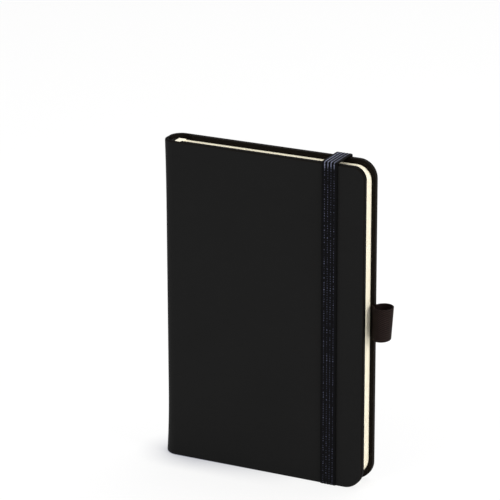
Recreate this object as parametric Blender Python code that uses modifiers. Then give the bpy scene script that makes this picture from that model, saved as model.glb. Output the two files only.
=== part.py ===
"""Pocket notebook with covers, signatures, closure band and pen loop (metres, +Z up)."""

import math

import bmesh
import bpy
from mathutils import Matrix, Vector

mm = 0.001

# Leaves and text block
leaf_width = 90 * mm
leaf_height = 140 * mm
leaf_corner_radius = 6.5 * mm
signature_count = 12
signature_thickness = 0.61 * mm
flyleaf_thickness = 0.15 * mm
fold_depth = 3.6 * mm
fold_roundness = 0.25 * mm

# Covers
square = 1.8 * mm
skin_thickness = 0.6 * mm
board_thickness = 1.6 * mm
turn_in_thickness = 0.25 * mm
turn_in_width = 9 * mm
pastedown_thickness = 0.2 * mm
pastedown_margin = 2.6 * mm
cover_corner_radius = 8 * mm
cover_edge_rounding = 0.4 * mm
board_joint_gap = 3 * mm

# Spine
spine_corner_radius = 5 * mm
spine_flat_overlap = 0.5 * mm
strip_thickness = 0.6 * mm
strip_arc_share = 0.6
hollow = 0.1 * mm
lining_thickness = 0.25 * mm
thread_radius = 0.15 * mm
thread_stations = 4
thread_end_margin = 18 * mm

# Closure band
band_width = 7.2 * mm
band_thickness = 0.7 * mm
band_inset = 15.6 * mm
band_slot_inset = 9 * mm
band_anchor_length = 12 * mm

# Pen loop
loop_height = 14.5 * mm
loop_centre_height = 73.3 * mm
loop_wall = 0.7 * mm
loop_half_depth = 4.7 * mm
loop_top_half_reach = 4.3 * mm
loop_foot_half_reach = 3.8 * mm
loop_forward_offset = 0.9 * mm
loop_tab_length = 11 * mm
loop_tab_thickness = 0.5 * mm

# Clearances
layer_gap = 0.05 * mm
hinge_gap = 0.3 * mm
loop_gap = 0.3 * mm
fold_gap = 0.1 * mm
slot_clearance = 0.2 * mm
gutter_pinch_length = 3 * mm
gutter_pinch_thickness = 0.12 * mm
cutter_reach = 2 * mm

# Worked out from the values above
cover_thickness = skin_thickness + board_thickness + turn_in_thickness + pastedown_thickness + 3 * layer_gap
signature_pitch = signature_thickness + layer_gap
half_signatures = signature_count * signature_pitch / 2
half_text = half_signatures + flyleaf_thickness + 2 * layer_gap
half_depth = half_text + cover_thickness
cover_height = leaf_height + 2 * square
strip_inner_radius = spine_corner_radius - skin_thickness - layer_gap - strip_thickness
lining_rise = max(half_signatures - (half_depth - spine_corner_radius), 0)
lining_x = spine_corner_radius - math.sqrt(strip_inner_radius**2 - lining_rise**2) + hollow
thread_x = lining_x + lining_thickness + layer_gap + thread_radius
fold_x = thread_x + thread_radius + layer_gap
fore_x = fold_x + leaf_width + square
hinge_x = spine_corner_radius + spine_flat_overlap
hinge_y = half_depth + layer_gap
gutter_x = fold_x + fold_depth + fold_gap
band_x = fore_x - band_inset
band_reach = half_depth + layer_gap + band_thickness
band_rest_z = layer_gap / 2
band_seat_depth = band_rest_z + band_thickness + layer_gap
tab_outer_y = half_text + pastedown_thickness + layer_gap + loop_tab_thickness
loop_root_y = tab_outer_y - loop_tab_thickness / 2
loop_root_x = fore_x + loop_gap
loop_centre_y = loop_root_y - loop_forward_offset
loop_reach = loop_gap + 2 * loop_top_half_reach
loop_low = loop_centre_height - loop_height / 2
loop_high = loop_centre_height + loop_height / 2
book_centre_x = (fore_x + loop_reach) / 2
book_centre_y = (max(band_reach, loop_centre_y + loop_half_depth) - band_reach) / 2

corner_segments = 8
arc_segments = 8
ring_segments = 40


def clear_scene():
    for item in list(bpy.data.objects):
        bpy.data.objects.remove(item)


def make_collection(name):
    collection = bpy.data.collections.new(name)
    bpy.context.scene.collection.children.link(collection)
    return collection


def make_material(name, colour, roughness):
    material = bpy.data.materials.new(name)
    material.use_nodes = True
    shader = material.node_tree.nodes["Principled BSDF"]
    shader.inputs["Base Color"].default_value = (*colour, 1)
    shader.inputs["Roughness"].default_value = roughness
    shader.inputs["Metallic"].default_value = 0
    return material


def make_empty(name, location, parent=None):
    empty = bpy.data.objects.new(name, None)
    parts.objects.link(empty)
    empty.location = location
    empty.parent = parent
    return empty


def make_object(name, bm, pivot, material=None, collection=None):
    """Turns a bmesh in the book's coordinates into an object whose origin is its pivot."""
    bmesh.ops.recalc_face_normals(bm, faces=bm.faces)
    mesh = bpy.data.meshes.new(name)
    bm.to_mesh(mesh)
    bm.free()
    mesh.transform(Matrix.Translation(-Vector(pivot.location if pivot.parent else (0, 0, 0))))
    item = bpy.data.objects.new(name, mesh)
    (collection or parts).objects.link(item)
    item.parent = pivot
    if material:
        item.data.materials.append(material)
    return item


def box_mesh(low, high):
    bm = bmesh.new()
    bmesh.ops.create_cube(bm, size=1)
    size = Vector(high) - Vector(low)
    middle = (Vector(high) + Vector(low)) / 2
    bmesh.ops.scale(bm, vec=size, verts=bm.verts)
    bmesh.ops.translate(bm, vec=middle, verts=bm.verts)
    return bm


def round_fore_corners(bm, fore, radius):
    corners = []
    for edge in bm.edges:
        first, second = (vert.co for vert in edge.verts)
        along_depth = abs(first.y - second.y) > abs(first.z - second.z)
        if along_depth and min(first.x, second.x) > fore - layer_gap:
            corners.append(edge)
    bmesh.ops.bevel(
        bm, geom=corners, offset=radius, segments=corner_segments, affect="EDGES", profile=0.5, material=-1
    )


def round_outer_edge(bm, outer_y, inner_x, amount):
    rim = []
    for edge in bm.edges:
        on_face = all(abs(vert.co.y - outer_y) < layer_gap / 10 for vert in edge.verts)
        on_hinge = all(abs(vert.co.x - inner_x) < layer_gap / 10 for vert in edge.verts)
        if on_face and not on_hinge:
            rim.append(edge)
    bmesh.ops.bevel(bm, geom=rim, offset=amount, segments=2, affect="EDGES", profile=0.5, material=-1)


def leaf_mesh(low, high, radius):
    bm = box_mesh(low, high)
    round_fore_corners(bm, high[0], radius)
    return bm


def cut_with(target, cutter):
    boolean = target.modifiers.new(cutter.name, "BOOLEAN")
    boolean.operation = "DIFFERENCE"
    boolean.solver = "EXACT"
    boolean.object = cutter


def make_cutter(name, bm):
    cutter = make_object(name, bm, frame, collection=cutters)
    cutter.hide_render = True
    cutter.display_type = "WIRE"
    return cutter


def side_range(side, inner, outer):
    """Depth range between two distances from the mid plane, on the front (-1) or back (+1) side."""
    return sorted((side * inner, side * outer))


def make_cover(label, side, pivot):
    outer = half_depth
    turn_in_y = half_text + pastedown_thickness + layer_gap
    board_y = turn_in_y + turn_in_thickness + layer_gap
    start_x = hinge_x + hinge_gap / 2

    low_y, high_y = side_range(side, turn_in_y, outer)
    bm = leaf_mesh((start_x, low_y, 0), (fore_x, high_y, cover_height), cover_corner_radius)
    round_outer_edge(bm, side * outer, start_x, cover_edge_rounding)
    skin = make_object(label + "_skin", bm, pivot, skin_material)

    inset = skin_thickness
    low_y, high_y = side_range(side, board_y - layer_gap, outer - skin_thickness)
    bm = leaf_mesh(
        (start_x - cutter_reach, low_y, inset),
        (fore_x - inset, high_y, cover_height - inset),
        cover_corner_radius - inset,
    )
    cut_with(skin, make_cutter(label + "_board_cavity", bm))

    low_y, high_y = side_range(side, turn_in_y - cutter_reach, board_y - layer_gap / 2)
    bm = leaf_mesh(
        (start_x - cutter_reach, low_y, turn_in_width),
        (fore_x - turn_in_width, high_y, cover_height - turn_in_width),
        cover_corner_radius / 4,
    )
    cut_with(skin, make_cutter(label + "_turn_in_window", bm))

    inset = skin_thickness + layer_gap
    low_y, high_y = side_range(side, board_y, board_y + board_thickness)
    bm = leaf_mesh(
        (hinge_x + board_joint_gap, low_y, inset),
        (fore_x - inset, high_y, cover_height - inset),
        cover_corner_radius - inset,
    )
    board = make_object(label + "_board", bm, pivot, board_material)

    low_y, high_y = side_range(side, half_text, half_text + pastedown_thickness)
    bm = leaf_mesh(
        (hinge_x + board_joint_gap / 2, low_y, pastedown_margin),
        (fore_x - pastedown_margin, high_y, cover_height - pastedown_margin),
        leaf_corner_radius,
    )
    make_object(label + "_pastedown", bm, pivot, paper_material)

    half_seat = band_width / 2 + slot_clearance
    low_y, high_y = side_range(side, half_text, outer + cutter_reach)
    seat = make_cutter(
        label + "_band_seat",
        box_mesh((band_x - half_seat, low_y, -cutter_reach), (band_x + half_seat, high_y, band_seat_depth)),
    )
    cut_with(skin, seat)
    cut_with(board, seat)
    return skin, board


def spine_path(inset, end_x, arc_share=1):
    """Points of the spine's cross-section, from the front hinge round to the back one."""
    radius = spine_corner_radius - inset
    centre_y = half_depth - spine_corner_radius
    angles = [arc_share * math.pi / 2 * step / arc_segments for step in range(arc_segments + 1)]
    points = []
    for angle in reversed(angles):
        x = spine_corner_radius - radius * math.cos(angle)
        points.append((x, -centre_y - radius * math.sin(angle)))
    for angle in angles:
        x = spine_corner_radius - radius * math.cos(angle)
        points.append((x, centre_y + radius * math.sin(angle)))
    if end_x:
        points.insert(0, (end_x, -half_depth + inset))
        points.append((end_x, half_depth - inset))
    return points


def wall_object(name, rows, pivot, material, thickness, closed=False, offset=0.0):
    """A wall along two matching rows of points, thickened by a Solidify modifier."""
    bm = bmesh.new()
    first_row, second_row = ([bm.verts.new(point) for point in row] for row in rows)
    count = len(first_row)
    for index in range(count if closed else count - 1):
        following = (index + 1) % count
        bm.faces.new(
            (first_row[index], first_row[following], second_row[following], second_row[index])
        )
    item = make_object(name, bm, pivot, material)
    solidify = item.modifiers.new("Thickness", "SOLIDIFY")
    solidify.thickness = thickness
    solidify.offset = offset
    solidify.use_even_offset = True
    return item


def make_spine():
    inset = skin_thickness / 2
    path = spine_path(inset, hinge_x - hinge_gap / 2)
    rows = [[(x, y, z) for x, y in path] for z in (0, cover_height)]
    wall_object("spine_skin", rows, frame, skin_material, skin_thickness)

    inset = skin_thickness + layer_gap + strip_thickness / 2
    path = spine_path(inset, None, strip_arc_share)
    rows = [[(x, y, z) for x, y in path] for z in (square, cover_height - square)]
    wall_object("spine_strip", rows, frame, board_material, strip_thickness)

    low_z = square
    high_z = cover_height - square
    bm = box_mesh(
        (lining_x, -half_signatures, low_z + square),
        (lining_x + lining_thickness, half_signatures, high_z - square),
    )
    make_object("spine_lining", bm, frame, lining_material)

    for station in range(thread_stations):
        share = station / (thread_stations - 1)
        height = low_z + thread_end_margin + share * (leaf_height - 2 * thread_end_margin)
        bm = bmesh.new()
        bmesh.ops.create_cone(
            bm, cap_ends=True, segments=12, radius1=thread_radius, radius2=thread_radius,
            depth=2 * half_signatures - signature_pitch,
            matrix=Matrix.Translation((thread_x, 0, height)) @ Matrix.Rotation(math.pi / 2, 4, "X"),
        )
        thread = make_object("sewing_thread_%d" % (station + 1), bm, frame, thread_material)
        thread.data.shade_smooth()


def make_sewn_back():
    """The glued backs of all signatures, with one rounded fold for each."""
    bm = box_mesh(
        (fold_x, -half_signatures, square), (fold_x + fold_depth, half_signatures, square + leaf_height)
    )
    for index in range(1, signature_count):
        depth = -half_signatures + index * signature_pitch
        bmesh.ops.bisect_plane(
            bm, geom=bm.verts[:] + bm.edges[:] + bm.faces[:], plane_co=(0, depth, 0), plane_no=(0, 1, 0)
        )
    folds = []
    for edge in bm.edges:
        first, second = (vert.co for vert in edge.verts)
        upright = abs(first.z - second.z) > leaf_height / 2
        if upright and max(first.x, second.x) < fold_x + fold_depth / 2:
            folds.append(edge)
    inner = [edge for edge in folds if abs(edge.verts[0].co.y) < half_signatures - signature_pitch / 2]
    for edge in inner:
        for vert in edge.verts:
            vert.co.x += fold_roundness
    outer = [edge for edge in folds if edge not in inner]
    bmesh.ops.bevel(
        bm, geom=outer, offset=fold_roundness, segments=2, affect="EDGES", profile=0.5, material=-1
    )
    make_object("sewn_back", bm, frame, paper_material)


def make_signature(index, pivot, side):
    """One signature's leaves, pinched towards the gutter, where the paper bends."""
    middle_rank = index - signature_count / 2
    low_y = middle_rank * signature_pitch + layer_gap / 2
    high_y = low_y + signature_thickness
    bm = leaf_mesh(
        (gutter_x + fold_gap, low_y, square),
        (fold_x + leaf_width, high_y, square + leaf_height),
        leaf_corner_radius,
    )
    bmesh.ops.bisect_plane(
        bm, geom=bm.verts[:] + bm.edges[:] + bm.faces[:],
        plane_co=(gutter_x + gutter_pinch_length, 0, 0), plane_no=(1, 0, 0),
    )
    outer_y, inner_y = (low_y, high_y) if side < 0 else (high_y, low_y)
    for vert in bm.verts:
        at_gutter = vert.co.x < gutter_x + gutter_pinch_length / 2
        if at_gutter and abs(vert.co.y - inner_y) < layer_gap / 2:
            vert.co.y = outer_y - side * gutter_pinch_thickness
    make_object("signature_%02d" % (index + 1), bm, pivot, paper_material)


def make_flyleaf(label, side, pivot):
    low_y, high_y = side_range(side, half_text - layer_gap - flyleaf_thickness, half_text - layer_gap)
    bm = leaf_mesh(
        (gutter_x + fold_gap, low_y, square),
        (fold_x + leaf_width, high_y, square + leaf_height),
        leaf_corner_radius,
    )
    make_object(label + "_flyleaf", bm, pivot, paper_material)


def make_text_block():
    half_count = signature_count // 2
    for index in range(signature_count):
        side = -1 if index < half_count else 1
        outermost = index in (0, signature_count - 1)
        outer_rank = index - half_count + (1 if side > 0 else 0)
        axis_y = side * (half_text - layer_gap) if outermost else outer_rank * signature_pitch
        pivot = make_empty("signature_%02d_hinge" % (index + 1), (gutter_x, axis_y, 0), frame)
        make_signature(index, pivot, side)
        if outermost:
            make_flyleaf("front" if side < 0 else "back", side, pivot)


def corner_points(centre_y, centre_z, start_angle, radius, turn=math.pi / 2):
    steps = 4
    points = []
    for step in range(steps + 1):
        angle = start_angle + turn * step / steps
        points.append((centre_y + radius * math.cos(angle), centre_z + radius * math.sin(angle)))
    return points


def ribbon_object(name, path, pivot):
    """A flat elastic ribbon of the band's width along a path of depth and height points."""
    rows = [[(band_x + shift, y, z) for y, z in path] for shift in (-band_width / 2, band_width / 2)]
    return wall_object(name, rows, pivot, band_material, band_thickness)


def make_band(back_skin, back_board, cover_pivot, band_pivot):
    reach_y = half_depth + layer_gap + band_thickness / 2
    turn_radius = band_thickness / 2 + layer_gap
    top_z = cover_height + layer_gap + band_thickness / 2
    foot_z = band_rest_z + band_thickness / 2
    turn_y = reach_y - turn_radius
    upper_slot = cover_height - band_slot_inset
    lower_slot = band_slot_inset
    path = [(reach_y, upper_slot)]
    path += corner_points(turn_y, top_z - turn_radius, 0, turn_radius)
    path += corner_points(-turn_y, top_z - turn_radius, math.pi / 2, turn_radius)
    path += corner_points(-turn_y, foot_z + turn_radius, math.pi, turn_radius)
    path += corner_points(turn_y, foot_z + turn_radius, 1.5 * math.pi, turn_radius)
    path.append((reach_y, lower_slot))
    ribbon_object("elastic_band", path, band_pivot)

    board_inner_y = half_text + pastedown_thickness + turn_in_thickness + 2 * layer_gap
    flat_y = board_inner_y + layer_gap + band_thickness / 2
    for label, slot_z, towards_middle in (("upper", upper_slot, -1), ("lower", lower_slot, 1)):
        bend_z = slot_z - towards_middle * band_thickness / 2
        path = [
            (half_depth - layer_gap / 2, bend_z),
            (flat_y, bend_z),
            (flat_y, bend_z + towards_middle * band_anchor_length),
        ]
        ribbon_object("band_anchor_" + label, path, cover_pivot)
        half_slot = band_width / 2 + slot_clearance
        slot_low = bend_z - band_thickness / 2 - slot_clearance
        slot_high = bend_z + band_thickness / 2 + slot_clearance
        slot = make_cutter(
            "band_slot_" + label,
            box_mesh(
                (band_x - half_slot, board_inner_y - layer_gap, slot_low),
                (band_x + half_slot, half_depth + cutter_reach, slot_high),
            ),
        )
        cut_with(back_skin, slot)
        cut_with(back_board, slot)
        recess_low, recess_high = sorted(
            (bend_z, bend_z + towards_middle * (band_anchor_length + slot_clearance))
        )
        recess = make_cutter(
            "band_recess_" + label,
            box_mesh(
                (band_x - half_slot, board_inner_y - layer_gap, recess_low),
                (band_x + half_slot, flat_y + band_thickness / 2 + layer_gap, recess_high),
            ),
        )
        cut_with(back_board, recess)


def make_pen_loop(back_skin, back_board, cover_pivot, loop_pivot):
    rows = []
    for height, half_reach in ((loop_low, loop_foot_half_reach), (loop_high, loop_top_half_reach)):
        row = []
        for step in range(ring_segments):
            angle = 2 * math.pi * step / ring_segments
            x = loop_root_x + half_reach * (1 + math.cos(angle))
            y = loop_centre_y + loop_half_depth * math.sin(angle)
            row.append((x, y, height))
        rows.append(row)
    loop = wall_object("pen_loop", rows, loop_pivot, loop_material, loop_wall, closed=True, offset=-1)
    loop.data.shade_smooth()

    low = (fore_x - loop_tab_length, tab_outer_y - loop_tab_thickness, loop_low)
    high = (fore_x, tab_outer_y, loop_high)
    make_object("pen_loop_tab", box_mesh(low, high), cover_pivot, loop_material)
    seat = make_cutter(
        "pen_loop_seat",
        box_mesh(
            (low[0] - layer_gap, half_text + pastedown_thickness, low[2] - layer_gap),
            (high[0] + cutter_reach, high[1] + layer_gap, high[2] + layer_gap),
        ),
    )
    cut_with(back_skin, seat)
    cut_with(back_board, seat)


clear_scene()
parts = make_collection("pocket_notebook")
cutters = make_collection("pocket_notebook_cutters")
skin_material = make_material("cover_skin", (0.0137, 0.0137, 0.0137), 0.55)
board_material = make_material("board", (0.35, 0.28, 0.2), 0.9)
paper_material = make_material("paper", (0.93, 0.88, 0.72), 0.85)
lining_material = make_material("lining", (0.7, 0.68, 0.6), 0.9)
thread_material = make_material("thread", (0.85, 0.83, 0.78), 0.8)
band_material = make_material("band", (0.008, 0.009, 0.018), 0.8)
loop_material = make_material("loop", (0.014, 0.011, 0.010), 0.85)

frame = make_empty("notebook_frame", (-book_centre_x, -book_centre_y, 0))
front_pivot = make_empty("front_cover_hinge", (hinge_x, -hinge_y, 0), frame)
back_pivot = make_empty("back_cover_hinge", (hinge_x, hinge_y, 0), frame)
band_pivot = make_empty("elastic_band_hinge", (band_x, half_depth + layer_gap + band_thickness / 2, 0), frame)
loop_pivot = make_empty("pen_loop_hinge", (loop_root_x, loop_root_y, loop_centre_height), frame)

make_spine()
make_sewn_back()
make_cover("front", -1, front_pivot)
back_skin, back_board = make_cover("back", 1, back_pivot)
make_text_block()
make_band(back_skin, back_board, back_pivot, band_pivot)
make_pen_loop(back_skin, back_board, back_pivot, loop_pivot)
bpy.context.view_layer.update()
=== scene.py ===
import math
import random

import bmesh
import bpy
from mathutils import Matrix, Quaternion, Vector


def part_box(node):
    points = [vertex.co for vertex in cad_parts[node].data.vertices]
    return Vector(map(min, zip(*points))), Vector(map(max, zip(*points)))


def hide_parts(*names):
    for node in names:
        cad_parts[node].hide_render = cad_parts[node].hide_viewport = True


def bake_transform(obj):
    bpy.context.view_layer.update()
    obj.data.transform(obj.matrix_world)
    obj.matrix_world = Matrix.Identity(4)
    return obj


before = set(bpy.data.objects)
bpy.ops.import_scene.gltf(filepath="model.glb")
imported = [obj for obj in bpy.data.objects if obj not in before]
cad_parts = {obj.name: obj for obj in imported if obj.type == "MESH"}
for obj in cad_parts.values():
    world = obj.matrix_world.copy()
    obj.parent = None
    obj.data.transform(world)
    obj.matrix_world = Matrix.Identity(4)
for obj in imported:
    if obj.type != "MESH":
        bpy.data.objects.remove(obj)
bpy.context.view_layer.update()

mm = 0.001
hair = 1e-6  # two places nearer than this are the same place
random.seed(4)


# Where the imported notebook's parts are

def node(name):
    low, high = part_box(name)
    return Vector(low), Vector(high)


spineLow, spineHigh = node("spine_skin")
frontLow, frontHigh = node("front_skin")
backHigh = node("back_skin")[1]
foldHigh = node("sewn_back")[1]
midY = (frontLow.y + backHigh.y) / 2
halfDepth = (backHigh.y - frontLow.y) / 2
spineX = spineLow.x
foreX = frontHigh.x
bookHeight = frontHigh.z
hingeX = (spineHigh.x + frontLow.x) / 2


# Small helpers

def linear(hexColour):
    channels = [int(hexColour[i:i + 2], 16) / 255 for i in (1, 3, 5)]
    return [c / 12.92 if c <= 0.04045 else ((c + 0.055) / 1.055) ** 2.4 for c in channels] + [1]


def fillNode(tree, target, settings, links):
    for key, value in settings.items():
        if isinstance(key, int) or key in target.inputs:
            target.inputs[key].default_value = value
        else:
            setattr(target, key, value)
    for key, source in links.items():
        socket = source.outputs[0] if isinstance(source, bpy.types.Node) else source
        tree.links.new(socket, target.inputs[key])
    return target


def addNode(tree, kind, settings=None, links=None):
    return fillNode(tree, tree.nodes.new(kind), settings or {}, links or {})


def newMaterial(name):
    material = bpy.data.materials.new(name)
    material.use_nodes = True
    tree = material.node_tree
    return material, tree, tree.nodes["Principled BSDF"]


def wave(tree, source, period, phase=0.0):
    turned = addNode(tree, "ShaderNodeMath",
                     {"operation": "MULTIPLY_ADD", 1: 2 * math.pi / period, 2: phase}, {0: source})
    return addNode(tree, "ShaderNodeMath", {"operation": "COSINE"}, {0: turned})


def fadeIn(tree, source, start, full, strength):
    # strength, faded from nothing where source is start to all of it where source is full
    share = addNode(tree, "ShaderNodeMapRange", {"From Min": start, "From Max": full}, {"Value": source})
    return addNode(tree, "ShaderNodeMath", {"operation": "MULTIPLY"}, {0: share, 1: strength})


def finishMesh(name, bm, material, smoothAngle):
    mesh = bpy.data.meshes.new(name)
    bm.to_mesh(mesh)
    bm.free()
    mesh.shade_smooth()
    mesh.set_sharp_from_angle(angle=math.radians(smoothAngle))
    piece = bpy.data.objects.new(name, mesh)
    bpy.context.scene.collection.objects.link(piece)
    mesh.materials.append(material)
    return piece


def applyModifiers(piece):
    shown = bpy.context.evaluated_depsgraph_get()
    shown.update()
    baked = bpy.data.meshes.new_from_object(piece.evaluated_get(shown))
    piece.modifiers.clear()
    piece.data = baked


def boxBetween(low, high):
    bm = bmesh.new()
    bmesh.ops.create_cube(bm, size=1)
    bmesh.ops.scale(bm, vec=Vector(high) - Vector(low), verts=bm.verts)
    bmesh.ops.translate(bm, vec=(Vector(high) + Vector(low)) / 2, verts=bm.verts)
    return bm


def cutAcross(bm, axis, places):
    normal = Vector([1 if i == axis else 0 for i in range(3)])
    for place in places:
        bmesh.ops.bisect_plane(bm, geom=bm.verts[:] + bm.edges[:] + bm.faces[:], dist=1e-7,
                               plane_co=normal * place, plane_no=normal)


def bevelEdges(bm, edges, amount, segments):
    bmesh.ops.bevel(bm, geom=edges, offset=amount, segments=segments, affect="EDGES",
                    profile=0.5, material=-1, clamp_overlap=True)


def roundFore(bm, fore, headRadius, tailRadius, segments):
    middle = sum(v.co.z for v in bm.verts) / len(bm.verts)
    for isHead, radius in ((True, headRadius), (False, tailRadius)):
        corner = [e for e in bm.edges
                  if abs(e.verts[0].co.y - e.verts[1].co.y) > hair
                  and min(v.co.x for v in e.verts) > fore - hair
                  and (e.verts[0].co.z > middle) == isHead]
        bevelEdges(bm, corner, radius * mm, segments)


def steps(start, end, step):
    count = max(1, round((end - start) / step))
    return [start + (end - start) * i / count for i in range(count + 1)]


def pathLength(points):
    return sum((b - a).length for a, b in zip(points, points[1:]))


# Materials. Lengths in the finishes are millimetres, and a fuzz is so many to the millimetre

# Polyurethane leathercloth, embossed with a very fine grain: almost matt, with a soft wide sheen.
# Its cut and turned edges carry painted shade, set by the mesh's rim attribute: a warm dark tone, then near
# black where darkest
coverSkin = {"black": "#181818", "worn": "#1b1b1b", "warmShadedEdge": "#16120e", "edge": "#040303",
             "grain": 0.42, "grainShare": 0.6, "pore": 0.25, "cloud": 28, "relief": 0.05, "bump": 0.12,
             "smoothest": 0.57, "roughest": 0.69, "specular": 0.05}


def makeCoverSkin():
    material, tree, shader = newMaterial("blackLeathercloth")
    place = addNode(tree, "ShaderNodeTexCoord").outputs["Object"]
    cells = addNode(tree, "ShaderNodeTexVoronoi", {"Scale": 1 / (coverSkin["grain"] * mm)},
                    {"Vector": place})
    pores = addNode(tree, "ShaderNodeTexNoise",
                    {"Scale": 1 / (coverSkin["pore"] * mm), "Detail": 3.0}, {"Vector": place})
    clouds = addNode(tree, "ShaderNodeTexNoise", {"Scale": 1 / (coverSkin["cloud"] * mm), "Detail": 2.0},
                     {"Vector": place})
    height = addNode(tree, "ShaderNodeMath", {"operation": "MULTIPLY_ADD", 1: coverSkin["grainShare"]},
                     {0: cells, 2: pores})
    bump = addNode(tree, "ShaderNodeBump",
                   {"Strength": coverSkin["bump"], "Distance": coverSkin["relief"] * mm},
                   {"Height": height})
    face = addNode(tree, "ShaderNodeMix", {"data_type": "RGBA", 6: linear(coverSkin["black"]),
                                           7: linear(coverSkin["worn"])}, {"Factor": clouds})
    rough = addNode(tree, "ShaderNodeMapRange",
                    {"To Min": coverSkin["smoothest"], "To Max": coverSkin["roughest"]}, {"Value": pores})
    # painted shade on the cut and turned edges, read from the mesh's rim attribute
    rimShade = addNode(tree, "ShaderNodeAttribute", {"attribute_name": "rimShade"}).outputs["Fac"]
    warming = addNode(tree, "ShaderNodeMapRange", {"From Min": 0.0, "From Max": 0.5}, {"Value": rimShade})
    warm = addNode(tree, "ShaderNodeMix", {"data_type": "RGBA", 7: linear(coverSkin["warmShadedEdge"])},
                   {"Factor": warming, 6: face.outputs[2]})
    darkening = addNode(tree, "ShaderNodeMapRange", {"From Min": 0.5, "From Max": 1.0}, {"Value": rimShade})
    colour = addNode(tree, "ShaderNodeMix", {"data_type": "RGBA", 7: linear(coverSkin["edge"])},
                     {"Factor": darkening, 6: warm.outputs[2]})
    fillNode(tree, shader, {"Specular IOR Level": coverSkin["specular"]},
             {"Base Color": colour.outputs[2], "Roughness": rough, "Normal": bump})
    return material


# Ivory uncoated paper, and the slightly stronger endpaper: soft fibres, lightly clouded, quite matt
paperFinish = {"leaf": ("#fbf5e2", "#f4ecd2"), "end": ("#f8f1da", "#efe5c8"), "fibre": 0.5, "cloud": 9,
               "relief": 0.02, "bump": 0.12, "roughness": 0.85, "specular": 0.25}


def makePaper(name, colours):
    material, tree, shader = newMaterial(name)
    place = addNode(tree, "ShaderNodeTexCoord").outputs["Object"]
    fibre = addNode(tree, "ShaderNodeTexNoise", {"Scale": 1 / (paperFinish["fibre"] * mm), "Detail": 4.0},
                    {"Vector": place})
    clouds = addNode(tree, "ShaderNodeTexNoise", {"Scale": 1 / (paperFinish["cloud"] * mm), "Detail": 3.0},
                     {"Vector": place})
    both = addNode(tree, "ShaderNodeMath", {"operation": "MULTIPLY"}, {0: fibre, 1: clouds})
    colour = addNode(tree, "ShaderNodeMix",
                     {"data_type": "RGBA", 6: linear(colours[0]), 7: linear(colours[1])}, {"Factor": both})
    bump = addNode(tree, "ShaderNodeBump",
                   {"Strength": paperFinish["bump"], "Distance": paperFinish["relief"] * mm},
                   {"Height": fibre})
    fillNode(tree, shader,
             {"Roughness": paperFinish["roughness"], "Specular IOR Level": paperFinish["specular"]},
             {"Base Color": colour.outputs[2], "Normal": bump})
    return material


# Woven polyester elastic: dark lengthwise ribs, and rows of short crossing picks between them. Their pale
# colour is painted highlight, where they would catch the light, and the thread crests carry a faint painted
# sheen. The threads are drawn coarser than real ones, so that they show. The pattern reads the ribbon's own
# map, whose unit is a millimetre: x across, y along
# the pale pick and core colours are painted highlights, the sheen a painted sheen, and the edge ink painted
# shade
elasticFinish = {"ink": "#050507", "sheen": "#111117", "pickHighlight": "#7e82a0", "core": "#888da6",
                 "edgeShadeInk": "#020203", "halfWidth": 3.6, "rib": 1.44, "pickLength": 1.05,
                 "pickDrift": 1.1, "thread": 0.34, "edgeShade": 0.75, "tuck": 1.9, "glintStart": 1.5,
                 "glintFade": 2.0, "fuzz": 1.3, "relief": 0.08, "bump": 0.5, "roughness": 0.7,
                 "specular": 0.08}


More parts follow.
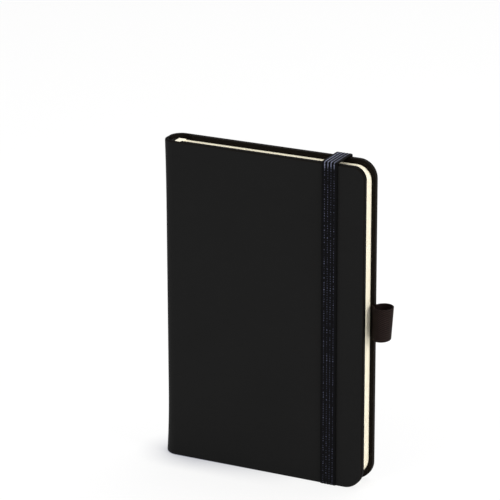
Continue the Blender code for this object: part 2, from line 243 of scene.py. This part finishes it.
def makeElastic():
    material, tree, shader = newMaterial("wovenElastic")
    place = addNode(tree, "ShaderNodeTexCoord").outputs["UV"]
    parts = addNode(tree, "ShaderNodeSeparateXYZ", {}, {"Vector": place})
    across = parts.outputs["X"]
    along = parts.outputs["Y"]
    half = elasticFinish["halfWidth"]
    fuzz = addNode(tree, "ShaderNodeTexNoise", {"Scale": elasticFinish["fuzz"], "Detail": 5.0},
                   {"Vector": place})
    threads = addNode(tree, "ShaderNodeMath", {"operation": "MULTIPLY"},
                      {0: wave(tree, across, elasticFinish["thread"]),
                       1: wave(tree, along, elasticFinish["thread"] * 1.5)})
    ground = addNode(tree, "ShaderNodeMix", {"data_type": "RGBA", 6: linear(elasticFinish["ink"]),
                                             7: linear(elasticFinish["sheen"])},
                     {"Factor": fadeIn(tree, threads, 0.0, 1.0, fuzz)})
    # painted highlights: short pale picks, in the grooves between the ribs, where the crossing threads
    # would catch the light
    fromEdge = addNode(tree, "ShaderNodeMath", {"operation": "ADD", 1: half}, {0: across})
    grooves = wave(tree, fromEdge, elasticFinish["rib"])
    drifted = addNode(tree, "ShaderNodeMath", {"operation": "MULTIPLY_ADD", 1: elasticFinish["pickDrift"]},
                      {0: fuzz, 2: along})
    picks = wave(tree, drifted, elasticFinish["pickLength"])
    rows = addNode(tree, "ShaderNodeMapRange", {"From Min": 0.7, "From Max": 1.0}, {"Value": grooves})
    fleck = fadeIn(tree, fuzz, 0.44, 0.64, fadeIn(tree, picks, 0.2, 0.9, rows))
    flecked = addNode(tree, "ShaderNodeMix", {"data_type": "RGBA", 7: linear(elasticFinish["pickHighlight"])},
                      {"Factor": fleck, 6: ground.outputs[2]})
    # painted highlight: where the band turns over the head, pale rows on the ribs stand for the top light's
    # glint
    bandLow, bandHigh = node("elastic_band")
    turnStart = (bandHigh.z - node("band_anchor_upper")[1].z) / mm + elasticFinish["tuck"]
    turnEnd = turnStart + (bandHigh.y - bandLow.y) / mm
    glintRows = addNode(tree, "ShaderNodeMapRange", {"From Min": 0.35, "From Max": 0.95}, {"Value": grooves})
    glints = fadeIn(tree, fuzz, 0.3, 0.6, glintRows)
    glints = fadeIn(tree, along, turnStart - elasticFinish["glintStart"], turnStart, glints)
    glints = fadeIn(tree, along, turnEnd + elasticFinish["glintFade"], turnEnd, glints)
    glinted = addNode(tree, "ShaderNodeMix", {"data_type": "RGBA", 7: linear(elasticFinish["core"])},
                   {"Factor": glints, 6: flecked.outputs[2]})
    # painted shade: darker along both edges, for the black shadow line beside the band
    fromMiddle = addNode(tree, "ShaderNodeMath", {"operation": "ABSOLUTE"}, {0: across})
    edgeShade = addNode(tree, "ShaderNodeMapRange",
                  {"From Min": half - elasticFinish["edgeShade"], "From Max": half - elasticFinish["edgeShade"] / 2},
                  {"Value": fromMiddle})
    colour = addNode(tree, "ShaderNodeMix", {"data_type": "RGBA", 7: linear(elasticFinish["edgeShadeInk"])},
                     {"Factor": edgeShade, 6: glinted.outputs[2]})
    bump = addNode(tree, "ShaderNodeBump",
                   {"Strength": elasticFinish["bump"], "Distance": elasticFinish["relief"] * mm},
                   {"Height": threads})
    fillNode(tree, shader,
             {"Roughness": elasticFinish["roughness"], "Specular IOR Level": elasticFinish["specular"]},
             {"Base Color": colour.outputs[2], "Normal": bump})
    return material


# Flat-woven twill elastic: slanting lines in warm black, drawn coarser than real ones too
twillFinish = {"dark": "#040202", "light": "#3c2e2a", "line": 0.85, "slant": 0.5, "fuzz": 2.5,
               "relief": 0.08, "bump": 0.6, "roughness": 0.8, "specular": 0.08}


def makeTwill():
    material, tree, shader = newMaterial("twillElastic")
    place = addNode(tree, "ShaderNodeTexCoord").outputs["UV"]
    parts = addNode(tree, "ShaderNodeSeparateXYZ", {}, {"Vector": place})
    slanted = addNode(tree, "ShaderNodeMath", {"operation": "MULTIPLY_ADD", 1: twillFinish["slant"]},
                      {0: parts.outputs["Y"], 2: parts.outputs["X"]})
    ridges = wave(tree, slanted, twillFinish["line"], -math.pi / 2)
    lines = addNode(tree, "ShaderNodeMapRange", {"From Min": -0.3, "From Max": 0.6}, {"Value": ridges})
    fuzz = addNode(tree, "ShaderNodeTexNoise", {"Scale": twillFinish["fuzz"], "Detail": 4.0},
                   {"Vector": place})
    colour = addNode(tree, "ShaderNodeMix", {"data_type": "RGBA", 6: linear(twillFinish["dark"]),
                                             7: linear(twillFinish["light"])},
                     {"Factor": fadeIn(tree, fuzz, 0.2, 0.75, lines)})
    bump = addNode(tree, "ShaderNodeBump",
                   {"Strength": twillFinish["bump"], "Distance": twillFinish["relief"] * mm},
                   {"Height": ridges})
    fillNode(tree, shader,
             {"Roughness": twillFinish["roughness"], "Specular IOR Level": twillFinish["specular"]},
             {"Base Color": colour.outputs[2], "Normal": bump})
    return material


# Grey-brown millboard and black spine card, both pressed from pulp, and the open-weave lining and
# waxed thread behind the folds: a light and a dark tone, and the size of the mottling
innerFinish = {"board": ("#a08b70", "#7d6b55", 0.6), "strip": ("#1f1c19", "#151311", 0.6),
               "lining": ("#dcd8c8", "#b9b39d", 0.8), "thread": ("#efeadb", "#c9c0a8", 0.3)}


def makeInner(name):
    light, dark, grain = innerFinish[name]
    material, tree, shader = newMaterial(name + "Stock")
    place = addNode(tree, "ShaderNodeTexCoord").outputs["Object"]
    pulp = addNode(tree, "ShaderNodeTexNoise", {"Scale": 1 / (grain * mm), "Detail": 5.0},
                   {"Vector": place})
    colour = addNode(tree, "ShaderNodeMix", {"data_type": "RGBA", 6: linear(light), 7: linear(dark)},
                     {"Factor": pulp})
    bump = addNode(tree, "ShaderNodeBump", {"Strength": 0.4, "Distance": 0.05 * mm}, {"Height": pulp})
    fillNode(tree, shader, {"Roughness": 0.9}, {"Base Color": colour.outputs[2], "Normal": bump})
    return material


leathercloth = makeCoverSkin()
leafPaper = makePaper("ivoryPaper", paperFinish["leaf"])
endPaper = makePaper("endPaper", paperFinish["end"])
wovenElastic = makeElastic()
twillElastic = makeTwill()
print("materials ready")


# Covers: one sheet of leathercloth on each side, rolled from the middle of the spine round to the
# fore edge. It is made flat, with x from the spine's middle, y into the book and z up

cover = {"tailRadius": 8.6, "frontHeadRadius": 5.6, "backHeadRadius": 7.9, "cornerSegments": 12,
         "outerRounding": 0.7, "outerSegments": 5, "innerRounding": 0.15, "innerSegments": 3,
         "levelEdge": 1.5, "innerRimFrom": 0.9, "insideFrom": 1.0, "sharpAngle": 50,
         "spineRadius": 5, "spineWall": 1.55, "jointWall": 1.15, "boardWall": 2.55,
         "boardStart": 3.0, "boardRamp": 0.5, "turnIn": 9, "skin": 0.25,
         "rollStart": 0.4, "rollStep": 0.42, "endStep": 3, "endReach": 30,
         "frontRim": 1.0, "backRim": 0.6, "rimDepth": 0.3,
         "headFlare": 0.6, "tailFlare": 1.5, "flareLength": 30, "flareFade": 1.3,
         "bendBefore": 1.2, "bendAfter": 2.0}


def rollAround(bm, side):
    radius = cover["spineRadius"] * mm
    flat = halfDepth - radius
    arc = radius * math.pi / 2
    for vert in bm.verts:
        s, depth, z = vert.co
        if s < flat:
            point, tangent = Vector((0, -s)), Vector((0, -1))
        elif s < flat + arc:
            angle = (s - flat) / radius
            point = Vector((radius - radius * math.cos(angle), -flat - radius * math.sin(angle)))
            tangent = Vector((math.sin(angle), -math.cos(angle)))
        else:
            point, tangent = Vector((radius + s - flat - arc, -halfDepth)), Vector((1, 0))
        inward = Vector((-tangent.y, tangent.x))
        point = point + inward * depth
        # the spine flares a little towards its head and tail
        toEnd = min(z, bookHeight - z)
        flare = cover["headFlare"] if z > bookHeight / 2 else cover["tailFlare"]
        ease = max(0, 1 - toEnd / (cover["flareLength"] * mm)) ** 2
        share = max(0, 1 - max(0, s - flat) / (arc * cover["flareFade"]))
        point.x -= flare * mm * ease * share * share
        vert.co = Vector((spineX + point.x, midY + point.y * -side, z))


def rimEdges(bm):
    found = []
    for edge in bm.edges:
        sharp = len(edge.link_faces) == 2 and edge.calc_face_angle(0) > 1.0
        pastSpine = (edge.verts[0].co.x + edge.verts[1].co.x) / 2 > hair
        level = abs(edge.verts[0].co.y - edge.verts[1].co.y) < cover["levelEdge"] * mm
        if sharp and pastSpine and level:
            found.append(edge)
    return found


def makeCover(side, name):
    spineRadius = cover["spineRadius"] * mm
    rollEnd = halfDepth - spineRadius + spineRadius * math.pi / 2
    length = rollEnd + foreX - spineX - spineRadius
    wall = cover["boardWall"] * mm
    bm = boxBetween((0, 0, 0), (length, wall, bookHeight))
    headRadius = cover["frontHeadRadius"] if side < 0 else cover["backHeadRadius"]
    roundFore(bm, length, headRadius, cover["tailRadius"], cover["cornerSegments"])
    # the joint and the spine are thinner than the board
    jointStart = rollEnd + hingeX - spineX - spineRadius
    boardStart = jointStart + cover["boardStart"] * mm
    cutAcross(bm, 0, [rollEnd, boardStart - cover["boardRamp"] * mm, boardStart])
    for vert in bm.verts:
        if vert.co.y > wall / 2:
            if vert.co.x < rollEnd + hair:
                vert.co.y = cover["spineWall"] * mm
            elif vert.co.x < boardStart - hair:
                vert.co.y = cover["jointWall"] * mm
    outerRim = [e for e in rimEdges(bm) if max(v.co.y for v in e.verts) < hair]
    bevelEdges(bm, outerRim, cover["outerRounding"] * mm, cover["outerSegments"])
    innerRim = [e for e in rimEdges(bm) if min(v.co.y for v in e.verts) > cover["innerRimFrom"] * mm]
    bevelEdges(bm, innerRim, cover["innerRounding"] * mm, cover["innerSegments"])
    # rows of cuts, so that the sheet can roll and flare
    rollStart = cover["rollStart"] * mm
    cutAcross(bm, 0, steps(rollStart, boardStart + rollStart, cover["rollStep"] * mm))
    turnIn = cover["turnIn"] * mm
    cutAcross(bm, 0, [length - turnIn])
    heights = steps(cover["endStep"] * mm, cover["endReach"] * mm, cover["endStep"] * mm)
    heights += [bookHeight - h for h in heights]
    cutAcross(bm, 2, sorted(set(heights + [turnIn, bookHeight - turnIn])))
    # inside, only the turned-in border stays, and both sheets stay open where they meet
    opened = []
    for face in bm.faces:
        middle = face.calc_center_median()
        withinBorder = turnIn < middle.z < bookHeight - turnIn and middle.x < length - turnIn
        isInside = middle.y > cover["insideFrom"] * mm and abs(face.normal.z) < 0.5
        if middle.x < hair or (isInside and withinBorder):
            opened.append(face)
    # the rim attribute, painted shade: 0 on the face, 0.5 along a warm dark edge, 1 on the darkest edge
    layer = bm.verts.layers.float.new("rimShade")
    darkest = cover["frontRim"] if side < 0 else cover["backRim"]
    for vert in bm.verts:
        vert[layer] = darkest * min(1, max(0, vert.co.y / (cover["rimDepth"] * mm)))
    bmesh.ops.delete(bm, geom=opened, context="FACES")
    rollAround(bm, side)
    if side > 0:
        bmesh.ops.reverse_faces(bm, faces=bm.faces)
    piece = finishMesh(name, bm, leathercloth, cover["sharpAngle"])
    solidify = piece.modifiers.new("skin", "SOLIDIFY")
    solidify.thickness = cover["skin"] * mm
    solidify.offset = -1
    applyModifiers(piece)
    piece.data.set_sharp_from_angle(angle=math.radians(cover["sharpAngle"]))
    weighted = piece.modifiers.new("shading", "WEIGHTED_NORMAL")
    weighted.keep_sharp = True
    return piece


def bendAtHinge(piece):
    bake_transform(piece)


frontCover = makeCover(-1, "front_cover_skin")
bendAtHinge(frontCover)
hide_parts("front_skin", "spine_skin")
backCover = makeCover(1, "back_cover_skin")
bendAtHinge(backCover)
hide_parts("back_skin")
print("covers ready")


# Leaves: every signature is eight thin leaves, cut across in rows where they leave the sewn backs

leaf = {"count": 8, "tailRadius": 8.4, "headRadius": 6.5, "cornerSegments": 9, "bend": 9,
        "bendStep": 0.9, "foldGap": 0.03, "air": 0.012, "uneven": 0.05, "headTrim": 0.4}


def addLeaf(bm, low, high, bendStart):
    sheet = boxBetween(low, high)
    roundFore(sheet, high.x, leaf["headRadius"], leaf["tailRadius"], leaf["cornerSegments"])
    step = leaf["bendStep"] * mm
    cutAcross(sheet, 0, steps(bendStart + step, bendStart + leaf["bend"] * mm, step))
    mesh = bpy.data.meshes.new("leaf")
    sheet.to_mesh(mesh)
    sheet.free()
    bm.from_mesh(mesh)
    bpy.data.meshes.remove(mesh)


def makeLeaves(name, nodeName, count, material):
    low, high = node(nodeName)
    low.x = foldHigh.x + leaf["foldGap"] * mm
    pitch = (high.y - low.y) / count
    bm = bmesh.new()
    for i in range(count):
        sheetLow = low.copy()
        sheetHigh = high.copy()
        sheetLow.y = low.y + i * pitch + leaf["air"] * mm / 2
        sheetHigh.y = low.y + (i + 1) * pitch - leaf["air"] * mm / 2
        sheetHigh.x -= random.random() * leaf["uneven"] * mm
        sheetHigh.z -= (leaf["headTrim"] + random.random() * leaf["uneven"]) * mm
        addLeaf(bm, sheetLow, sheetHigh, low.x)
    piece = finishMesh(name, bm, material, 30)
    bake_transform(piece)
    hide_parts(nodeName)


signatures = sorted(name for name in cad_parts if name.startswith("signature_"))
for name in signatures:
    makeLeaves(name + "_leaves", name, leaf["count"], leafPaper)
makeLeaves("front_flyleaf_sheet", "front_flyleaf", 1, endPaper)
makeLeaves("back_flyleaf_sheet", "back_flyleaf", 1, endPaper)


# Pastedowns: one sheet glued to each board, which crosses the joint

pastedown = {"cutStep": 0.4, "cutReach": 6, "bend": 2.5}


def makePastedown(side):
    low, high = node(side + "_pastedown")
    low.x = foldHigh.x
    bm = boxBetween(low, high)
    roundFore(bm, high.x, leaf["headRadius"], leaf["tailRadius"], leaf["cornerSegments"])
    step = pastedown["cutStep"] * mm
    cutAcross(bm, 0, steps(low.x + step, low.x + pastedown["cutReach"] * mm, step))
    piece = finishMesh(side + "_pastedown_sheet", bm, endPaper, 30)
    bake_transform(piece)
    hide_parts(side + "_pastedown")


makePastedown("front")
makePastedown("back")
print("leaves ready")


# Ribbons are made flat, with x along the path, y out of the surface and z across, and then bent
# round. Their own map is in millimetres

def ribbonBlank(length, width, thickness, acrossCount, alongCuts, edgeRounding):
    bm = boxBetween((0, -thickness / 2, -width / 2), (length, thickness / 2, width / 2))
    alongEdges = [e for e in bm.edges if abs(e.verts[0].co.x - e.verts[1].co.x) > length / 2]
    bevelEdges(bm, alongEdges, edgeRounding, 3)
    cutAcross(bm, 2, [width * (i / acrossCount - 0.5) for i in range(1, acrossCount)])
    cutAcross(bm, 0, alongCuts)
    layer = bm.loops.layers.uv.new("ribbon")
    for face in bm.faces:
        for corner in face.loops:
            corner[layer].uv = (corner.vert.co.z / mm, corner.vert.co.x / mm)
    return bm


def followPath(points, s):
    for first, second in zip(points, points[1:]):
        span = (second - first).length
        if s <= span or second is points[-1]:
            tangent = (second - first) / span
            return first + tangent * s, tangent
        s -= span


def smoothCorners(points, radius, segments):
    rounded = [points[0]]
    for before, corner, after in zip(points, points[1:], points[2:]):
        start = corner + (before - corner).normalized() * radius
        end = corner + (after - corner).normalized() * radius
        for i in range(segments + 1):
            t = i / segments
            rounded.append(start * (1 - t) ** 2 + corner * 2 * t * (1 - t) + end * t * t)
    rounded.append(points[-1])
    return rounded


# Closure band: a ribbed ribbon, round the covers and into a slit near each end of the back cover

band = {"thickness": 0.7, "core": 0.82, "ribs": 5, "ribDepth": 0.16, "ribCrown": 0.6, "edge": 0.2,
        "across": 40, "alongStep": 0.8, "turnRadius": 0.55, "turnSegments": 6,
        "headLift": 0.3, "slitInset": 0.6, "dip": 1.9}


def raiseRibs(bm, width):
    edge = band["edge"] * mm
    ribWidth = (width - 2 * edge) / band["ribs"]
    for vert in bm.verts:
        inRib = (vert.co.z + width / 2 - edge) / ribWidth
        crown = abs(math.sin(math.pi * inRib)) ** band["ribCrown"]
        if abs(vert.co.z) < width / 2 - edge:
            side = 1 if vert.co.y > 0 else -1
            vert.co.y += side * band["ribDepth"] * mm * (crown - 0.5)


def makeBand():
    low, high = node("elastic_band")
    high.z += band["headLift"] * mm
    width = high.x - low.x
    half = band["thickness"] * mm / 2
    front = low.y + half
    back = high.y - half
    inside = high.y - band["dip"] * mm
    head = high.z - half
    tail = low.z + half
    upperSlit = node("band_anchor_upper")[1].z - band["slitInset"] * mm
    lowerSlit = node("band_anchor_lower")[0].z + band["slitInset"] * mm
    corners = [(inside, upperSlit), (back, upperSlit), (back, head), (front, head),
               (front, tail), (back, tail), (back, lowerSlit), (inside, lowerSlit)]
    path = smoothCorners([Vector(c) for c in corners], band["turnRadius"] * mm, band["turnSegments"])
    cuts = []
    along = 0
    for a, b in zip(path, path[1:]):
        span = (b - a).length
        cuts += [along + p for p in steps(0, span, band["alongStep"] * mm)[1:]]
        along += span
    bm = ribbonBlank(along, width, 2 * half * band["core"], band["across"], cuts[:-1],
                     band["edge"] * mm)
    raiseRibs(bm, width)
    middleX = (low.x + high.x) / 2
    for vert in bm.verts:
        s, lift, across = vert.co
        point, tangent = followPath(path, s)
        point = point + Vector((tangent.y, -tangent.x)) * lift
        vert.co = Vector((middleX + across, point.x, point.y))
    bmesh.ops.recalc_face_normals(bm, faces=bm.faces)
    piece = finishMesh("closure_band", bm, wovenElastic, 60)
    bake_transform(piece)
    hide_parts("elastic_band")


makeBand()


# Pen loop: a short ribbon bent round and tucked into the back cover's edge, narrower at its foot

loop = {"wall": 0.7, "core": 0.9, "around": 56, "up": 14, "edge": 0.2, "footTaper": 1.15,
        "opening": 0.11, "ringPoints": 48, "lead": 0.3, "tuck": 1.0, "tuckGap": 0.3,
        "bendBefore": 0.2, "bendAfter": 1.4}


def loopPath(reach, halfY, middleY, rootY):
    # both ends leave an opening at the root, so that they lie together as they enter the cover
    start = loop["opening"] * math.pi
    lead = loop["lead"] * mm
    points = [Vector((foreX - loop["tuck"] * mm, rootY - loop["tuckGap"] * mm))]
    for i in range(loop["ringPoints"] + 1):
        angle = start + (2 * math.pi - 2 * start) * i / loop["ringPoints"]
        x = reach / 2 + lead - math.cos(angle) * (reach / 2 - lead)
        points.append(Vector((foreX + x, middleY - math.sin(angle) * halfY)))
    points.append(Vector((foreX - loop["tuck"] * mm, rootY + loop["tuckGap"] * mm)))
    return points


def makePenLoop():
    low, high = node("pen_loop")
    tabLow, tabHigh = node("pen_loop_tab")
    wall = loop["wall"] * mm
    middleY = (low.y + high.y) / 2
    rootY = (tabLow.y + tabHigh.y) / 2
    halfY = (high.y - low.y) / 2 - wall / 2
    reach = high.x - foreX - wall / 2
    height = high.z - low.z
    middleZ = (low.z + high.z) / 2
    top = loopPath(reach, halfY, middleY, rootY)
    foot = loopPath(reach - loop["footTaper"] * mm, halfY, middleY, rootY)
    length = pathLength(top)
    footShare = pathLength(foot) / length
    bm = ribbonBlank(length, height, wall * loop["core"], loop["up"],
                     steps(0, length, length / loop["around"])[1:-1], loop["edge"] * mm)
    for vert in bm.verts:
        s, lift, up = vert.co
        share = up / height + 0.5
        topPoint, topTangent = followPath(top, s)
        footPoint, footTangent = followPath(foot, s * footShare)
        point = footPoint.lerp(topPoint, share)
        tangent = footTangent.lerp(topTangent, share).normalized()
        point = point + Vector((-tangent.y, tangent.x)) * lift
        vert.co = Vector((point.x, point.y, middleZ + up))
    bmesh.ops.recalc_face_normals(bm, faces=bm.faces)
    piece = finishMesh("pen_loop_ribbon", bm, twillElastic, 60)
    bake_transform(piece)
    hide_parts("pen_loop")


makePenLoop()
print("band and loop ready")


# Finishes on the carried-over parts

carried = {"board": ["front_board", "back_board"], "strip": ["spine_strip"], "lining": ["spine_lining"],
           "thread": [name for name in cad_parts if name.startswith("sewing_thread")]}
finishes = {"sewn_back": leafPaper, "band_anchor_upper": wovenElastic, "band_anchor_lower": wovenElastic,
            "pen_loop_tab": twillElastic}
for stock, names in carried.items():
    finishes.update(dict.fromkeys(names, makeInner(stock)))
for name, material in finishes.items():
    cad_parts[name].material_slots[0].material = material
print("inner parts finished")


# Studio: a white floor and sky, with a tight, cool contact shadow at the spine's foot, away from
# the side light. The contact lengths are millimetres

studio = {"floor": "#ffffff", "floorSize": 4, "floorRoughness": 0.9, "floorGlow": 0.8, "sky": 0.6,
          "contactReach": 15, "contactStart": -36, "contactEnd": 14, "contactDepth": 1.2,
          "contactShade": "#8d8f9f"}
lamps = {"keyLight": {"place": (-0.5, -0.9, 1.0), "size": 0.9, "power": 4.0, "colour": (1, 1, 1)},
         "fillLight": {"place": (1.2, -0.15, 0.5), "size": 0.8, "power": 9.0, "colour": (1, 0.98, 0.95)},
         "topLight": {"place": (0.1, 0.4, 1.2), "size": 0.8, "power": 5.0, "colour": (1, 1, 1)}}


def makeFloor():
    bm = bmesh.new()
    bmesh.ops.create_grid(bm, x_segments=2, y_segments=2, size=studio["floorSize"])
    material, tree, shader = newMaterial("whiteSweep")
    fillNode(tree, shader, {"Base Color": linear(studio["floor"]), "Roughness": studio["floorRoughness"],
                            "Specular IOR Level": 0.1}, {})
    place = addNode(tree, "ShaderNodeTexCoord").outputs["Object"]
    along = addNode(tree, "ShaderNodeSeparateXYZ", {}, {"Vector": place}).outputs["X"]
    near = addNode(tree, "ShaderNodeAmbientOcclusion", {"Distance": studio["contactReach"] * mm})
    hidden = addNode(tree, "ShaderNodeMath", {"operation": "MULTIPLY_ADD", 1: -studio["contactDepth"],
                                              2: studio["contactDepth"]}, {0: near.outputs["AO"]})
    depth = fadeIn(tree, along, studio["contactEnd"] * mm, studio["contactStart"] * mm, hidden)
    shade = addNode(tree, "ShaderNodeMix", {"data_type": "RGBA", 6: (1, 1, 1, 1),
                                            7: linear(studio["contactShade"])}, {"Factor": depth})
    glow = addNode(tree, "ShaderNodeEmission", {"Strength": 1.0}, {"Color": shade.outputs[2]})
    light = addNode(tree, "ShaderNodeLightPath")
    seen = addNode(tree, "ShaderNodeMath", {"operation": "MAXIMUM"},
                   {0: light.outputs["Is Camera Ray"], 1: light.outputs["Is Glossy Ray"]})
    share = addNode(tree, "ShaderNodeMath", {"operation": "MULTIPLY", 1: studio["floorGlow"]}, {0: seen})
    both = addNode(tree, "ShaderNodeMixShader", {}, {0: share, 1: shader, 2: glow})
    tree.links.new(both.outputs[0], tree.nodes["Material Output"].inputs["Surface"])
    finishMesh("floor", bm, material, 40)


def makeWorld():
    world = bpy.data.worlds.new("studio")
    bpy.context.scene.world = world
    world.use_nodes = True
    tree = world.node_tree
    light = addNode(tree, "ShaderNodeLightPath")
    seen = addNode(tree, "ShaderNodeMath", {"operation": "MAXIMUM"},
                   {0: light.outputs["Is Camera Ray"], 1: light.outputs["Is Transmission Ray"]})
    strength = addNode(tree, "ShaderNodeMapRange", {"To Min": studio["sky"], "To Max": 1.0},
                       {"Value": seen})
    fillNode(tree, tree.nodes["Background"], {"Color": (1, 1, 1, 1)}, {"Strength": strength})


def makeLamp(name, settings):
    lamp = bpy.data.lights.new(name, "AREA")
    lamp.shape = "DISK"
    lamp.size = settings["size"]
    lamp.energy = settings["power"]
    lamp.color = settings["colour"]
    holder = bpy.data.objects.new(name, lamp)
    bpy.context.scene.collection.objects.link(holder)
    holder.location = settings["place"]
    toBook = Vector((0, 0, bookHeight / 2)) - holder.location
    holder.rotation_euler = toBook.to_track_quat("-Z", "Y").to_euler()


makeFloor()
makeWorld()
for name, settings in lamps.items():
    makeLamp(name, settings)


# Camera: in front of the book and towards its fore edge, a little above, with a long lens

camera = {"aim": (-15.1, 3.1, 96.5), "yaw": -26.44, "pitch": 18.99, "roll": -0.15,
          "distance": 1265.8, "lens": 213.7, "sensor": 36}


def makeCamera():
    yaw = math.radians(camera["yaw"])
    pitch = math.radians(camera["pitch"])
    level = math.cos(pitch)
    forward = Vector((math.sin(yaw) * level, math.cos(yaw) * level, -math.sin(pitch)))
    eye = bpy.data.cameras.new("camera")
    eye.lens = camera["lens"]
    eye.sensor_width = camera["sensor"]
    eye.clip_end = 20
    holder = bpy.data.objects.new("camera", eye)
    bpy.context.scene.collection.objects.link(holder)
    holder.location = (Vector(camera["aim"]) - forward * camera["distance"]) * mm
    turned = forward.to_track_quat("-Z", "Y") @ Quaternion((0, 0, 1), math.radians(camera["roll"]))
    holder.rotation_euler = turned.to_euler()
    bpy.context.scene.camera = holder


makeCamera()
bpy.context.scene.view_settings.view_transform = "Standard"
print("studio ready")
